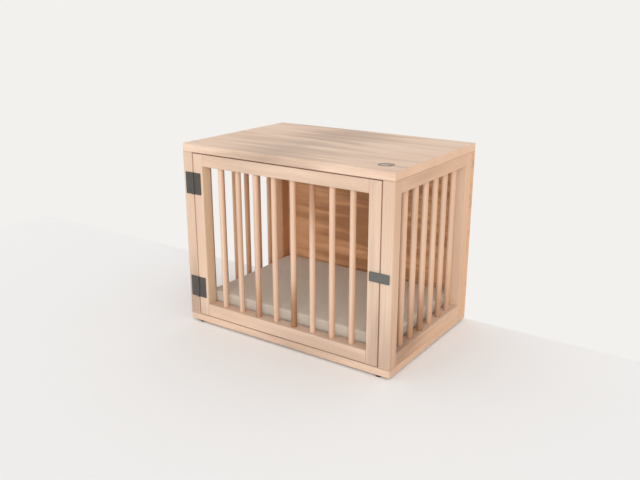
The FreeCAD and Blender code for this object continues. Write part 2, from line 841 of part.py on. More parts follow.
def pad():
    """Stuffed floor pad: flat below, rounded edges, drawn-in sides and a crowned top.

    The outline shrinks along quarter turns into the bottom and the top edge, and then
    climbs to the crown along a quarter of a sine wave.
    """
    edge_z = pad_height - pad_crown
    turn = pad_edge_round

    def on_turn(degrees):
        angle = math.radians(degrees)
        return turn * (1 - math.cos(angle)), turn * (1 - math.sin(angle))

    low = [on_turn(degrees) for degrees in (90, 50, 15)]
    high = [(inset, edge_z - drop) for inset, drop in map(on_turn, (15, 50, 90))]
    slope = pad_half_y - turn - 2 * pad_corner_radius
    crown = [(turn + share * slope, edge_z + pad_crown * math.sin(math.radians(90 * share)))
             for share in (0.2, 0.5, 1.0)]
    rings = [pad_outline(inset, pad_bottom_z + height) for inset, height in low + high + crown]
    faces = [Part.Face(Part.Wire(rings[0])), Part.Face(Part.Wire(rings[-1]))]
    for one, other in zip(rings, rings[1:]):
        faces += [band_face(lower, upper) for lower, upper in zip(one, other)]
    solid = Part.Solid(Part.Shell(faces))
    if solid.Volume < 0:
        solid.reverse()
    return placed(solid, (0, pad_centre_y, 0))


# ---- Assembly --------------------------------------------------------------
def build():
    """Every piece of the table by name."""
    pieces = {
        "top_board": top_board(),
        "base_board": base_board(),
        "back_board": back_board(),
        "base_screws": base_screws(),
        "top_screws": top_screws(),
        "top_pins": top_pins(),
        "back_screws": back_screws(),
        "door_stop": door_stop(),
        "door_stop_screws": stop_screws(),
        "grommet_sleeve": grommet_sleeve(),
        "grommet_cap": grommet_cap(),
        "feet": feet(),
        "foot_screws": foot_screws(),
        "door_hinge_stile": door_hinge_stile(),
        "door_latch_stile": door_latch_stile(),
        "hinge_post_screws": hinge_screws(-1),
        "hinge_door_screws": hinge_screws(1),
        "latch_bar": latch_bar(),
        "latch_pivot_screw": latch_pivot(),
        "latch_washer": latch_washer(),
        "latch_magnet": latch_magnet(),
        "floor_pad": pad(),
    }
    names = ("door_bottom_rail", "door_top_rail", "door_bars")
    pieces.update(zip(names, door_infill()))
    for side, sign in side_signs.items():
        pieces["front_post_" + side] = front_post(sign)
        pieces["rear_post_" + side] = rear_post(sign)
        names = ("side_bottom_rail_" + side, "side_top_rail_" + side, "side_bars_" + side)
        pieces.update(zip(names, side_frame(sign)))
    for level, bottom_z in hinge_bottoms.items():
        pieces["hinge_post_leaf_" + level] = hinge_leaf(-1, bottom_z)
        pieces["hinge_door_leaf_" + level] = hinge_leaf(1, bottom_z)
        pieces["hinge_pin_" + level] = hinge_pin(bottom_z)
    return pieces


os.makedirs("parts", exist_ok=True)
for name, shape in sorted(build().items()):
    if not shape.isValid():
        raise RuntimeError(name + " is not a valid solid")
    shape.exportStep(os.path.join("parts", name + ".step"))
    print("%-24s %3d solids  %9.1f cm3" % (name, len(shape.Solids), shape.Volume / 1000))
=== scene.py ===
import math

import bpy
import numpy as np
from bpy.props import FloatProperty, FloatVectorProperty, IntProperty, PointerProperty
from mathutils import Matrix, Vector


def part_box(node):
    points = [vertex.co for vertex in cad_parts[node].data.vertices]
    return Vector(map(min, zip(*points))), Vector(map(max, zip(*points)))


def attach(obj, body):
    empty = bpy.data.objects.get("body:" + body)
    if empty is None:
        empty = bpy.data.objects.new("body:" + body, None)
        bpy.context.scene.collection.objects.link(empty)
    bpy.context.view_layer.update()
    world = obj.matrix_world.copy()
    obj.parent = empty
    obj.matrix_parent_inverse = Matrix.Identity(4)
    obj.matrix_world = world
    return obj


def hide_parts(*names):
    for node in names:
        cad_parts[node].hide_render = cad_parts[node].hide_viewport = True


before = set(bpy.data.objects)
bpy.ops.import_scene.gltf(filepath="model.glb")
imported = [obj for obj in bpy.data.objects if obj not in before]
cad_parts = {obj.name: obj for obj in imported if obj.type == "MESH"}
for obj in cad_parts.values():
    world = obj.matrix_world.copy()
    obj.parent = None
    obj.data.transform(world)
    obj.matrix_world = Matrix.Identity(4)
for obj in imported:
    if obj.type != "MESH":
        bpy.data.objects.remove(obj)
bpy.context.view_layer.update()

bl_info = {
    "name": "Dog Crate End Table",
    "version": (1, 0, 0),
    "blender": (4, 5, 0),
    "location": "View3D > Sidebar > Kennel",
    "description": "Dresses the packed kennel table: oiled timber, turned bars, pad, metal "
                   "and stage",
    "category": "Object",
}

ALONG_X = (0.0, 0.0, 0.0)
ALONG_Y = (0.0, 0.0, -math.pi / 2)
ALONG_Z = (0.0, math.pi / 2, 0.0)

# Each timber node: run of the grain, seed of its figure, tone, dark streaks, inside shade (a warm,
# darker colour painted on members inside the crate as painted shade), rounding of its edges (which
# also sets a painted highlight along them), and its darker heartwood as (middle along the grain,
# reach, share).
TIMBER = {
    "top_board": (ALONG_X, 4, 1.06, 0.60, 0.00, 0.0040, (-0.05, 0.22, 1.10)),
    "base_board": (ALONG_X, 11, 0.95, 0.45, 0.10, 0.0040, (0.03, 0.20, 0.90)),
    # Back board: its inside shade is painted shade, and its broad heartwood is partly the wood's
    # own figure, partly painted shade inside the crate.
    "back_board": (ALONG_X, 23, 1.30, 0.55, 0.85, 0.0022, (0.02, 0.30, 1.55)),
    "front_post_left": (ALONG_Z, 5, 0.93, 0.35, 0.00, 0.0050, (0.05, 0.14, 1.40)),
    "front_post_right": (ALONG_Z, 31, 0.93, 0.25, 0.00, 0.0060, (0.03, 0.22, 1.05)),
    "rear_post_left": (ALONG_Z, 8, 0.87, 0.40, 0.75, 0.0040, (0.30, 0.10, 0.00)),
    "rear_post_right": (ALONG_Z, 17, 0.99, 0.12, 0.15, 0.0040, (0.15, 0.20, 0.00)),
    "side_top_rail_left": (ALONG_Y, 3, 0.98, 0.40, 0.30, 0.0030, (0.00, 0.10, 0.00)),
    "side_top_rail_right": (ALONG_Y, 14, 0.98, 0.35, 0.05, 0.0030, (-0.10, 0.12, 0.35)),
    "side_bottom_rail_left": (ALONG_Y, 9, 0.97, 0.40, 0.30, 0.0030, (0.00, 0.10, 0.00)),
    "side_bottom_rail_right": (ALONG_Y, 28, 0.95, 0.35, 0.10, 0.0030, (-0.20, 0.18, 1.50)),
    "door_top_rail": (ALONG_X, 6, 0.97, 0.45, 0.00, 0.0022, (-0.14, 0.20, 0.45)),
    "door_bottom_rail": (ALONG_X, 19, 0.95, 0.35, 0.00, 0.0022, (0.16, 0.22, 0.70)),
    "door_hinge_stile": (ALONG_Z, 13, 0.96, 0.40, 0.00, 0.0022, (0.03, 0.11, 0.85)),
    "door_latch_stile": (ALONG_Z, 21, 0.95, 0.40, 0.00, 0.0022, (0.04, 0.24, 1.00)),
    "door_stop": (ALONG_X, 2, 0.95, 0.30, 0.20, 0.0022, (0.00, 0.10, 0.00)),
    "top_pins": (ALONG_Z, 1, 0.95, 0.20, 0.00, 0.0010, (0.00, 0.10, 0.00)),
}
# Door bars from the hinge side: how dark and brown each is at its lower and at its upper end.
# The lower ends are partly each bar's own tone, partly painted shade at the bar's foot.
DOOR_BAR_LOW = (0.30, 0.25, 0.90, 0.38, 1.45, 0.12, 0.42, 0.28)
DOOR_BAR_HIGH = (0.00, 0.05, 0.05, 0.10, 0.00, 0.95, -0.05, 0.00)
# Gain on the side tint of a node: the painted shade on the faces that look left or right.
SIDE_SHADE_GAIN = {"door_hinge_stile": 1.22}
# Share of a bar's height where its lower tone has faded out, and where its upper tone starts.
LOW_TONE_END = 0.52
HIGH_TONE_START = 0.45
METAL = {
    "hinge_post_leaf_lower": "hinge_coat",
    "hinge_post_leaf_upper": "hinge_coat",
    "hinge_door_leaf_lower": "hinge_coat",
    "hinge_door_leaf_upper": "hinge_coat",
    "hinge_pin_lower": "hinge_coat",
    "hinge_pin_upper": "hinge_coat",
    "latch_bar": "latch_coat",
    "latch_pivot_screw": "latch_coat",
    "latch_magnet": "bright_plate",
    "base_screws": "bright_plate",
    "top_screws": "bright_plate",
    "back_screws": "bright_plate",
    "door_stop_screws": "bright_plate",
    "foot_screws": "bright_plate",
}
MOULDED = {
    "feet": "foot_plastic",
    "latch_washer": "foot_plastic",
    "grommet_sleeve": "sleeve_plastic",
    "grommet_cap": "cap_plastic",
}

# Hinge screw heads: points around, widest spread of one head's points in the CAD solid, and
# (share of the head's radius, depth) of the two rings of the countersink.
HEAD_AROUND = 48
HEAD_SPREAD = 0.009
HEAD_RIM = ((1.0, 0.0005), (0.5, 0.0022))
# Pad: points along each straight side in plan, frames of the cloth run, and wavelengths of
# the folds under the seam.
PAD_SIDE_POINTS = (70, 46, 70, 46)
CLOTH_FRAMES = 20
FOLD_WAVES = (0.031, 0.047, 0.068, 0.105, 0.19)
# Stage: height of the walls, place of each lamp (all look at the origin), and the camera.
WALL_HEIGHT = 3.2
LAMP_PLACES = {
    "key": (-1.5, -3.7, 1.6),
    "fill": (3.4, -1.2, 0.9),
    "front": (1.25, -1.9, 0.7),
}
LAMP_COLOUR = (1.0, 0.985, 0.965)
WORLD_COLOUR = (1.0, 0.993, 0.982, 1.0)
CAMERA_PLACE = (1.2513, -1.8770, 1.0044)
CAMERA_FORWARD = (-0.53762, 0.78615, -0.30484)
CAMERA_UP = (-0.17208, 0.25163, 0.95240)


# ---- Sizes and colours a user may change ------------------------------------
def colour(name, value):
    return FloatVectorProperty(name=name, description=name + " (linear)", subtype="COLOR",
                               size=3, min=0.0, max=1.0, default=value)


def length(name, value):
    return FloatProperty(name=name, description=name, default=value, min=0.0,
                         unit="LENGTH", precision=4)


class KennelTimber(bpy.types.PropertyGroup):
    """Finish of the boards, posts, rails and bars."""
    light: colour("Early wood colour", (0.81, 0.610, 0.470))
    dark: colour("Late wood colour", (0.64, 0.415, 0.285))
    streak: colour("Streak colour", (0.36, 0.245, 0.185))
    deep: colour("Deep brown colour", (0.36, 0.185, 0.095))
    # Painted shade: members inside the crate are multiplied by this warm, darker tint.
    warm: colour("Tint of painted inside shade", (0.76, 0.52, 0.30))
    # Painted shade: faces that look left or right are multiplied by this darker, warmer tint.
    side: colour("Painted shade of faces to the left and right", (0.94, 0.83, 0.73))
    ring: length("Growth ring spacing", 0.0042)


class KennelBars(bpy.types.PropertyGroup):
    """Turned bars of the door and the two sides."""
    radius: length("Bar radius", 0.009)
    chamfer: length("Chamfer of the ends", 0.001)
    door_count: IntProperty(name="Door bars", description="Bars in the door", default=8, min=2)
    side_count: IntProperty(name="Side bars", description="Bars in each side", default=6, min=2)
    around: IntProperty(name="Points around", description="Points around a bar", default=40, min=8)
    along: IntProperty(name="Points along", description="Rows of points along a bar",
                       default=30, min=4)


class KennelMetal(bpy.types.PropertyGroup):
    """Coats of the hinges and the turn latch, and the plated screws."""
    hinge: colour("Hinge coat colour", (0.074, 0.067, 0.060))
    latch: colour("Latch coat colour", (0.122, 0.127, 0.115))
    plate: colour("Plated steel colour", (0.62, 0.62, 0.60))
    screw_radius: length("Hinge screw head radius", 0.0037)
    slot_width: length("Width of the cross recess", 0.0009)
    slot_reach: length("Reach of the cross recess", 0.0020)
    slot_depth: length("Depth of the cross recess", 0.0011)


class KennelPlastic(bpy.types.PropertyGroup):
    """Grommet, feet and washer."""
    sleeve: colour("Grommet sleeve colour", (0.21, 0.165, 0.13))
    cap: colour("Grommet cap colour", (0.47, 0.35, 0.27))
    foot: colour("Foot colour", (0.025, 0.025, 0.027))


class KennelPad(bpy.types.PropertyGroup):
    """Loose floor pad."""
    light: colour("Yarn colour", (0.66, 0.60, 0.515))
    dark: colour("Colour between the yarns", (0.485, 0.43, 0.355))
    inset: length("Starting size inside the pad's box", 0.005)
    corner: length("Corner radius in plan", 0.026)
    bow: length("Draw-in of the long sides", 0.006)
    edge: length("Rounding of the upper and lower edges", 0.013)
    crown: length("Rise of the top", 0.005)
    voxel: length("Cloth point spacing", 0.006)
    cap: length("Furthest a cloth point may move", 0.006)
    clear: length("Room kept to the walls of the pad's box", 0.0006)
    yarn: length("Yarn spacing", 0.0016)
    gain: FloatProperty(name="Painted light on upright sides", description="How much lighter the painted light makes it look "
                        "on upright sides", default=0.12)


class KennelStage(bpy.types.PropertyGroup):
    """Floor, walls, lamps and camera."""
    floor: colour("Floor colour", (0.955, 0.955, 0.955))
    wall: colour("Wall colour", (0.895, 0.88, 0.855))
    back_wall: length("Back wall behind the middle", 0.270)
    left_wall: length("Left wall from the middle", 1.886)
    room: length("Reach of the floor", 7.0)
    world: FloatProperty(name="World", description="Strength of the even light", default=0.79)
    key: FloatProperty(name="Key lamp", description="Strength of the lamp at the front left",
                       default=0.15)
    fill: FloatProperty(name="Fill lamp", description="Strength of the lamp at the right",
                        default=0.08)
    front: FloatProperty(name="Front lamp", description="Strength of the lamp at the front right",
                         default=1.18)
    spread: FloatProperty(name="Lamp spread", description="Angle that a lamp fills",
                          subtype="ANGLE", default=math.radians(40))
    lens: FloatProperty(name="Lens", description="Focal length in mm", default=40.75)


GROUPS = {
    "kennel_timber": KennelTimber,
    "kennel_bars": KennelBars,
    "kennel_metal": KennelMetal,
    "kennel_plastic": KennelPlastic,
    "kennel_pad": KennelPad,
    "kennel_stage": KennelStage,
}


# ---- Node helpers -----------------------------------------------------------
def put(tree, kind, inputs=(), **settings):
    """Adds a shader node; each input is a constant or the socket that feeds it."""
    node = tree.nodes.new("ShaderNode" + kind)
    for key, value in settings.items():
        setattr(node, key, value)
    for key, value in dict(inputs).items():
        if isinstance(value, bpy.types.NodeSocket):
            tree.links.new(value, node.inputs[key])
        else:
            node.inputs[key].default_value = value
    return node


def maths(tree, operation, first, second=0.0, third=0.0):
    node = put(tree, "Math", {0: first, 1: second, 2: third}, operation=operation)
    return node.outputs[0]


def ramped(tree, value, start, end, low=0.0, high=1.0):
    """Smooth step of a value between two limits."""
    node = put(tree, "MapRange", {"Value": value, "From Min": start, "From Max": end,
                                  "To Min": low, "To Max": high}, interpolation_type="SMOOTHSTEP")
    return node.outputs[0]


def blended(tree, factor, first, second, kind="MIX"):
    """Mix of two colours."""
    node = put(tree, "Mix", {0: factor, 6: first, 7: second}, data_type="RGBA", blend_type=kind)
    return node.outputs[2]


def scaled(tree, vector, scale):
    """A vector times a constant one."""
    node = put(tree, "VectorMath", {0: vector, 1: scale}, operation="MULTIPLY")
    return node.outputs[0]


def noise(tree, vector, scale=1.0, detail=2.0, roughness=0.5, distortion=0.0):
    node = put(tree, "TexNoise", {"Vector": vector, "Scale": scale, "Detail": detail,
                                  "Roughness": roughness, "Distortion": distortion})
    return node.outputs[0]


def new_group(name, inputs, outputs):
    """Empty shader group with its named sockets, as (group, input node, output node)."""
    group = bpy.data.node_groups.new(name, "ShaderNodeTree")
    for label, kind, value in inputs:
        socket = group.interface.new_socket(label, in_out="INPUT", socket_type="NodeSocket" + kind)
        socket.default_value = value
    for label, kind in outputs:
        group.interface.new_socket(label, in_out="OUTPUT", socket_type="NodeSocket" + kind)
    return group, group.nodes.new("NodeGroupInput"), group.nodes.new("NodeGroupOutput")


def new_material(name):
    """Empty node material, as (material, tree)."""
    material = bpy.data.materials.new(name)
    material.use_nodes = True
    material.node_tree.nodes.clear()
    return material, material.node_tree


def finished(tree, shader):
    output = put(tree, "OutputMaterial")
    tree.links.new(shader.outputs[0], output.inputs["Surface"])


def opaque(rgb, tone=1.0):
    return tuple(min(1.0, channel * tone) for channel in rgb) + (1.0,)


# ---- Shader groups ----------------------------------------------------------
def grain_group():
    """Figure of sawn timber whose grain runs along X after the turn.

    Growth rings are a noise read along the distance from a pith line that lies off the
    piece and wanders slowly with X. Streaks, fibres and pores are noises stretched along
    X by about 9, 40 and 31 times. Heartwood fades with the distance along X from its middle,
    in shares of its reach, and a noise stretched 20 times breaks it into streaks. On faces
    that cut the grain, the fibres close to dots.
    """
    group, inputs, outputs = new_group("sawn_timber", [
        ("Offset", "Vector", (0.0, 0.0, 0.0)),
        ("Turn", "Vector", (0.0, 0.0, 0.0)),
        ("Light", "Color", (1.0, 1.0, 1.0, 1.0)),
        ("Dark", "Color", (0.5, 0.5, 0.5, 1.0)),
        ("Streak", "Color", (0.2, 0.2, 0.2, 1.0)),
        ("Deep", "Color", (0.2, 0.1, 0.05, 1.0)),
        ("Streaks", "Float", 0.5),
        ("Heart at", "Float", 0.0),
        ("Heart reach", "Float", 0.1),
        ("Heart", "Float", 0.0),
        ("Warm tint", "Color", (1.0, 1.0, 1.0, 1.0)),
        ("Side tint", "Color", (1.0, 1.0, 1.0, 1.0)),
        ("Ring spacing", "Float", 0.004),
        ("Edge", "Float", 0.0),
        ("Tone", "Float", 0.0),
    ], [("Color", "Color"), ("Roughness", "Float"), ("Height", "Float")])
    place = put(group, "TexCoord")
    point = put(group, "Mapping", {"Vector": place.outputs["Object"],
                                   "Location": inputs.outputs["Offset"],
                                   "Rotation": inputs.outputs["Turn"]}).outputs[0]
    facing = put(group, "Mapping", {"Vector": place.outputs["Normal"],
                                    "Rotation": inputs.outputs["Turn"]}, vector_type="NORMAL")
    across = put(group, "SeparateXYZ", {0: facing.outputs[0]})
    end_grain = ramped(group, maths(group, "ABSOLUTE", across.outputs[0]), 0.6, 0.9)

    sway = put(group, "TexNoise", {"Vector": scaled(group, point, (1.7, 7.0, 7.0)),
                                   "Scale": 1.0, "Detail": 2.0})
    sway = put(group, "VectorMath", {0: sway.outputs["Color"], 1: (0.5, 0.5, 0.5)},
               operation="SUBTRACT")
    wander = scaled(group, sway.outputs[0], (0.0, 0.045, 0.045))
    moved = put(group, "VectorMath", {0: point, 1: wander}, operation="ADD")
    flat = scaled(group, moved.outputs[0], (0.0, 1.0, 1.0))
    from_pith = put(group, "VectorMath", {0: flat}, operation="LENGTH").outputs["Value"]
    ring_at = maths(group, "DIVIDE", from_pith, inputs.outputs["Ring spacing"])
    rings = put(group, "TexNoise", {"W": ring_at, "Scale": 1.0, "Detail": 2.5,
                                    "Roughness": 0.6}, noise_dimensions="1D").outputs[0]
    rings = ramped(group, rings, 0.30, 0.72)
    broad = ramped(group, noise(group, scaled(group, point, (2.0, 9.0, 9.0)), detail=1.0), 0.3, 0.7)
    cloud = noise(group, scaled(group, moved.outputs[0], (2.6, 24.0, 24.0)), detail=2.5,
                  roughness=0.5, distortion=0.4)
    streaks = maths(group, "MULTIPLY", ramped(group, cloud, 0.47, 0.74), inputs.outputs["Streaks"])
    along = put(group, "SeparateXYZ", {0: point}).outputs[0]
    from_heart = maths(group, "ABSOLUTE", maths(group, "SUBTRACT", along,
                                                inputs.outputs["Heart at"]))
    from_heart = maths(group, "DIVIDE", from_heart, inputs.outputs["Heart reach"])
    uneven = noise(group, scaled(group, moved.outputs[0], (1.5, 30.0, 30.0)), detail=3.0,
                   roughness=0.6)
    from_heart = maths(group, "MULTIPLY_ADD", maths(group, "SUBTRACT", uneven, 0.5), 4.0,
                       from_heart)
    heart = maths(group, "MULTIPLY", ramped(group, from_heart, 1.25, -0.15),
                  inputs.outputs["Heart"])
    heart = maths(group, "MULTIPLY", heart, maths(group, "MULTIPLY_ADD", uneven, 0.7, 0.45))
    flat_grain = maths(group, "MULTIPLY_ADD", end_grain, -0.75, 1.0)
    streaks = maths(group, "MULTIPLY", streaks, flat_grain)
    fibre = noise(group, scaled(group, point, (26.0, 1050.0, 1050.0)), detail=3.0, roughness=0.65)
    pore = noise(group, scaled(group, point, (75.0, 2300.0, 2300.0)), detail=1.0)
    pores = maths(group, "MULTIPLY", ramped(group, pore, 0.64, 0.74), rings)

    rings = maths(group, "MULTIPLY", rings, flat_grain)
    late = maths(group, "MULTIPLY_ADD", rings, 0.22, maths(group, "MULTIPLY", broad, 0.30))
    late = maths(group, "MULTIPLY_ADD", maths(group, "SUBTRACT", fibre, 0.5), 0.45, late)
    late = maths(group, "ADD", late, inputs.outputs["Tone"])
    shade = blended(group, late, inputs.outputs["Light"], inputs.outputs["Dark"])
    shade = blended(group, maths(group, "MULTIPLY", heart, 0.62), shade, inputs.outputs["Streak"])
    shade = blended(group, maths(group, "MULTIPLY", streaks, 0.55), shade, inputs.outputs["Streak"])
    # Bars only: their tone mixes in the deep brown; at the lower ends this is partly painted shade
    # at the bar's foot.
    brown = ramped(group, inputs.outputs["Tone"], 0.3, 1.3)
    shade = blended(group, brown, shade, inputs.outputs["Deep"])
    shade = blended(group, maths(group, "MULTIPLY", pores, 0.25), shade, inputs.outputs["Streak"])
    # Painted shade: members inside the crate are multiplied by a warm, darker tint.
    shade = blended(group, 1.0, shade, inputs.outputs["Warm tint"], "MULTIPLY")
    # Painted shade: faces that look left or right are tinted darker and warmer.
    side_shade_mask = put(group, "SeparateXYZ", {0: place.outputs["Normal"]}).outputs[0]
    side_shade_mask = ramped(group, maths(group, "ABSOLUTE", side_shade_mask), 0.3, 0.95)
    shade = blended(group, side_shade_mask, shade, inputs.outputs["Side tint"], "MULTIPLY")
    shade = blended(group, maths(group, "MULTIPLY", end_grain, 0.22), shade,
                    inputs.outputs["Dark"])
    # Painted highlight: the eased edges are lightened towards the early wood colour.
    shade = blended(group, maths(group, "MULTIPLY", inputs.outputs["Edge"], 0.35), shade,
                    inputs.outputs["Light"])
    sheen = maths(group, "MULTIPLY_ADD", streaks, 0.10, 0.46)
    sheen = maths(group, "MULTIPLY_ADD", fibre, 0.10, sheen)
    height = maths(group, "MULTIPLY_ADD", fibre, 0.5, maths(group, "MULTIPLY", rings, 0.35))
    height = maths(group, "SUBTRACT", height, maths(group, "MULTIPLY", pores, 0.8))
    for label, socket in (("Color", shade), ("Roughness", sheen), ("Height", height)):
        group.links.new(socket, outputs.inputs[label])
    return group


def coat_group():
    """Fine-textured powder coat or moulded skin: an orange-peel noise, with small blotches."""
    group, inputs, outputs = new_group("textured_skin", [
        ("Color", "Color", (0.5, 0.5, 0.5, 1.0)),
        ("Grain", "Float", 900.0),
        ("Variation", "Float", 0.2),
        ("Roughness", "Float", 0.5),
        ("Edge", "Float", 0.0),
    ], [("Color", "Color"), ("Roughness", "Float"), ("Height", "Float")])
    place = put(group, "TexCoord").outputs["Object"]
    peel = put(group, "TexNoise", {"Vector": place, "Scale": inputs.outputs["Grain"],
                                   "Detail": 2.0}).outputs[0]
    blotch = noise(group, place, 38.0, 3.0)
    change = maths(group, "SUBTRACT", maths(group, "MULTIPLY_ADD", peel, 0.5, blotch), 0.75)
    bright = maths(group, "MULTIPLY_ADD", change, inputs.outputs["Variation"], 1.0)
    # Painted highlight: eased edges are made lighter.
    bright = maths(group, "MULTIPLY_ADD", inputs.outputs["Edge"], 0.35, bright)
    shade = put(group, "VectorMath", {0: inputs.outputs["Color"], 1: bright}, operation="MULTIPLY")
    rough = maths(group, "MULTIPLY_ADD", change, 0.15, inputs.outputs["Roughness"])
    for label, socket in (("Color", shade.outputs[0]), ("Roughness", rough), ("Height", peel)):
        group.links.new(socket, outputs.inputs[label])
    return group


def weave_group():
    """Plain weave seen on the three main planes, blended by the way the surface faces.

    On each plane the yarns are two crossed sine waves, one raised where the other dips,
    and a slub noise thickens some of them.
    """
    group, inputs, outputs = new_group("plain_weave", [
        ("Yarn", "Float", 0.0016),
        ("Light", "Color", (0.6, 0.6, 0.6, 1.0)),
        ("Dark", "Color", (0.4, 0.4, 0.4, 1.0)),
        ("Upright gain", "Float", 0.0),
    ], [("Color", "Color"), ("Roughness", "Float"), ("Height", "Float")])
    place = put(group, "TexCoord")
    spread = put(group, "SeparateXYZ", {0: place.outputs["Object"]})
    facing = put(group, "SeparateXYZ", {0: place.outputs["Normal"]})
    waves = []
    for axis in range(3):
        turns = maths(group, "DIVIDE", spread.outputs[axis], inputs.outputs["Yarn"])
        waves.append(maths(group, "SINE", maths(group, "MULTIPLY", turns, math.pi)))
    weights = [maths(group, "POWER", maths(group, "ABSOLUTE", facing.outputs[axis]), 4.0)
               for axis in range(3)]
    total = maths(group, "ADD", maths(group, "ADD", weights[0], weights[1]), weights[2])
    height = None
    for axis in range(3):
        first, second = waves[(axis + 1) % 3], waves[(axis + 2) % 3]
        crossed = maths(group, "MULTIPLY", first, second)
        crossed = maths(group, "MULTIPLY_ADD", maths(group, "ABSOLUTE", crossed), 0.8, 0.1)
        share = maths(group, "DIVIDE", weights[axis], total)
        part = maths(group, "MULTIPLY", crossed, share)
        height = part if height is None else maths(group, "ADD", height, part)
    slub = noise(group, scaled(group, place.outputs["Object"], (60.0, 420.0, 420.0)), detail=2.0)
    cross_slub = noise(group, scaled(group, place.outputs["Object"], (420.0, 60.0, 60.0)),
                       detail=2.0)
    cloudy = noise(group, place.outputs["Object"], 7.0, 3.0)
    uneven = maths(group, "ADD", slub, cross_slub)
    height = maths(group, "MULTIPLY_ADD", uneven, 0.5, height)
    lit = maths(group, "MULTIPLY_ADD", cloudy, 0.35, maths(group, "MULTIPLY", height, 0.55))
    shade = blended(group, ramped(group, lit, 0.25, 0.95), inputs.outputs["Dark"],
                    inputs.outputs["Light"])
    # Painted light: upright sides of the cloth are made lighter.
    upright = ramped(group, maths(group, "ABSOLUTE", facing.outputs[2]), 0.9, 0.2)
    gain = maths(group, "MULTIPLY_ADD", upright, inputs.outputs["Upright gain"], 1.0)
    shade = put(group, "VectorMath", {0: shade, 1: gain}, operation="MULTIPLY").outputs[0]
    rough = maths(group, "MULTIPLY_ADD", uneven, 0.08, 0.82)
    for label, socket in (("Color", shade), ("Roughness", rough), ("Height", height)):
        group.links.new(socket, outputs.inputs[label])
    return group


def shared_group(name, maker):
    return bpy.data.node_groups.get(name) or maker()


# ---- Materials --------------------------------------------------------------
def rounded_normal(tree, radius):
    """Edge-rounded normal and a mask of the eased edges, along which the materials paint a
    highlight.
    """
    bevel = put(tree, "Bevel", {"Radius": radius}, samples=6)
    plain = put(tree, "NewGeometry").outputs["True Normal"]
    match = put(tree, "VectorMath", {0: bevel.outputs[0], 1: plain}, operation="DOT_PRODUCT")
    edge = maths(tree, "MULTIPLY", maths(tree, "SUBTRACT", 1.0, match.outputs["Value"]), 3.0)
    return bevel.outputs[0], ramped(tree, edge, 0.02, 0.9)


def timber_material(name, turn, offset, tone, streaks, inside_shade, edge, heart, tone_from=None,
                    side_shade_gain=1.0):
    """Oiled timber with the grain along a given direction."""
    looks = bpy.context.scene.kennel_timber
    material, tree = new_material(name)
    # The edge mask paints a highlight along the eased edges.
    normal, edge_highlight = rounded_normal(tree, edge) if edge else (None, 0.0)
    inputs = {
        "Offset": offset,
        "Turn": turn,
        "Light": opaque(looks.light, tone),
        "Dark": opaque(looks.dark, tone),
        # Painted shade: members deeper in the crate get streaks nearer the deep brown and a warm,
        # darker tint.
        "Streak": opaque([one + (other - one) * inside_shade for one, other in
                          zip(looks.streak, looks.deep)]),
        "Deep": opaque(looks.deep, tone),
        "Streaks": streaks,
        "Heart at": heart[0] + offset[0],
        "Heart reach": heart[1],
        "Heart": heart[2],
        "Warm tint": opaque([1 - inside_shade * (1 - channel) for channel in looks.warm]),
        # Painted shade on the faces that look left or right.
        "Side tint": opaque(looks.side, side_shade_gain),
        "Ring spacing": looks.ring,
        "Edge": edge_highlight,
    }
    if tone_from:
        inputs["Tone"] = put(tree, "Attribute", attribute_name=tone_from).outputs["Fac"]
    grain = put(tree, "Group", inputs, node_tree=shared_group("sawn_timber", grain_group))
    relief = {"Height": grain.outputs["Height"], "Strength": 0.22, "Distance": 0.0004}
    if normal:
        relief["Normal"] = normal
    bump = put(tree, "Bump", relief)
    shader = put(tree, "BsdfPrincipled", {
        "Base Color": grain.outputs["Color"],
        "Roughness": grain.outputs["Roughness"],
        "Normal": bump.outputs[0],
        "Specular IOR Level": 0.35,
    })
    finished(tree, shader)
    return material


def skin_material(name, rgb, rough, grain, variation, metallic=0.0, edge=0.0, relief=0.25):
    """Powder coat, plating or moulded plastic."""
    material, tree = new_material(name)
    # The edge mask paints a highlight along the eased edges.
    normal, edge_highlight = rounded_normal(tree, edge) if edge else (None, 0.0)
    values = {"Color": opaque(rgb), "Grain": grain, "Variation": variation, "Roughness": rough,
              "Edge": edge_highlight}
    skin = put(tree, "Group", values, node_tree=shared_group("textured_skin", coat_group))
    bumped = {"Height": skin.outputs["Height"], "Strength": relief, "Distance": 0.0001}
    if normal:
        bumped["Normal"] = normal
    bump = put(tree, "Bump", bumped)
    shader = put(tree, "BsdfPrincipled", {
        "Base Color": skin.outputs["Color"],
        "Roughness": skin.outputs["Roughness"],
        "Normal": bump.outputs[0],
        "Metallic": metallic,
    })
    finished(tree, shader)
    return material


def fabric_material(name):
    """Plain-woven upholstery cloth with a soft sheen."""
    looks = bpy.context.scene.kennel_pad
    material, tree = new_material(name)
    # The gain paints light on the pad's upright sides.
    values = {"Yarn": looks.yarn, "Light": opaque(looks.light), "Dark": opaque(looks.dark),
              "Upright gain": looks.gain}
    weave = put(tree, "Group", values, node_tree=shared_group("plain_weave", weave_group))
    bump = put(tree, "Bump", {"Height": weave.outputs["Height"], "Strength": 0.35,
                              "Distance": 0.0004})
    shader = put(tree, "BsdfPrincipled", {
        "Base Color": weave.outputs["Color"],
        "Roughness": weave.outputs["Roughness"],
        "Normal": bump.outputs[0],
        "Sheen Weight": 0.25,
        "Sheen Roughness": 0.5,
    })
    finished(tree, shader)
    return material


def dress(obj, material):
    """Gives an object one material in every slot."""
    if not obj.data.materials:
        obj.data.materials.append(material)
    for slot in obj.material_slots:
        slot.material = material


# ---- Mesh helpers -----------------------------------------------------------
def new_object(name, vertices, faces, smooth=True):
    mesh = bpy.data.meshes.new(name)
    mesh.from_pydata(vertices.reshape(-1, 3).tolist(), [], faces)
    mesh.polygons.foreach_set("use_smooth", np.full(len(mesh.polygons), smooth))
    mesh.update()
    obj = bpy.data.objects.new(name, mesh)
    bpy.context.scene.collection.objects.link(obj)
    return obj


